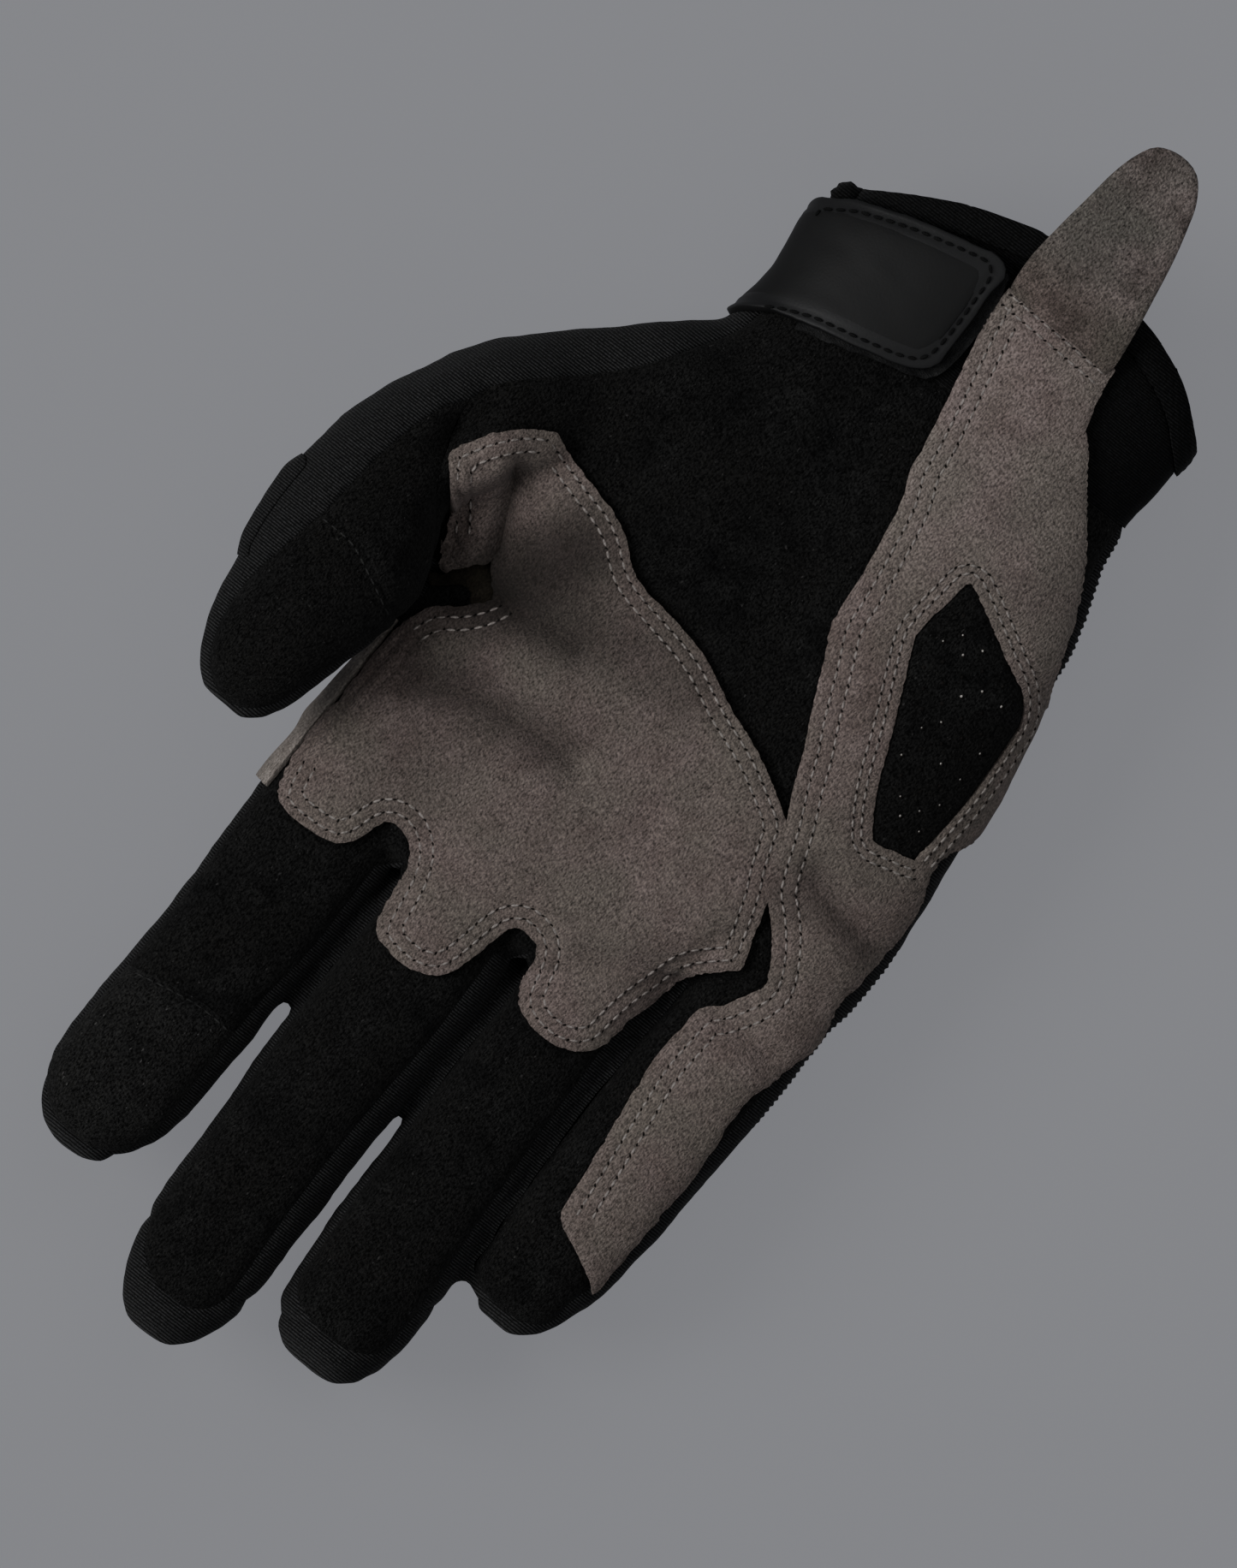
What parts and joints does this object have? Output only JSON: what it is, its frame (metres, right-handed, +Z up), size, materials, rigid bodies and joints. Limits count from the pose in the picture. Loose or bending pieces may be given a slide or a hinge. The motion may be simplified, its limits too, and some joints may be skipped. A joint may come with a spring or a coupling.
{
  "type": "riding glove",
  "caption": "Right-hand riding glove with suede palm reinforcements, stretch knit back, pull tab at the cuff and a hook-and-loop wrist strap, lying palm up.",
  "frame": {"origin": "on the ground that the glove lies on, at the middle of its outline seen from above", "axes": "+Y from the cuff to the fingertips, +X across the hand towards the thumb, +Z up out of the palm"},
  "size_m": [0.1296, 0.2612, 0.0449],
  "materials": {
    "black_suede": "soft black synthetic suede with a short nap",
    "grey_suede": "mottled grey-brown synthetic suede, double stitched",
    "tab_suede": "darker worn grey-brown synthetic suede",
    "rib_knit": "fine-ribbed black stretch knit",
    "cuff_knit": "smooth black stretch jersey",
    "hem_tape": "folded black stretch binding",
    "loop_pile": "black loop pile of a hook-and-loop closure",
    "strap_web": "flexible black strap, satin, stitched at its rim",
    "strap_rubber": "smooth satin black rubber face"
  },
  "bodies": {
    "root": {"palm_panel": "black_suede", "thumb_panel": "black_suede", "index_tip_pad": "black_suede", "thumb_tip_pad": "black_suede", "heel_pad": "black_suede", "palm_patch": "grey_suede", "side_patch": "grey_suede", "index_edge_patch": "grey_suede", "pull_tab": "tab_suede", "back_panel": "rib_knit", "side_wall_index_middle": "rib_knit", "side_wall_middle_ring": "rib_knit", "side_wall_ring_little": "rib_knit", "thumb_knuckle_patch": "rib_knit", "cuff_band": "cuff_knit", "cuff_hem": "hem_tape", "loop_pad": "loop_pile", "wrist_strap": "strap_web", "strap_face": "strap_rubber"}
  },
  "joints": []
}
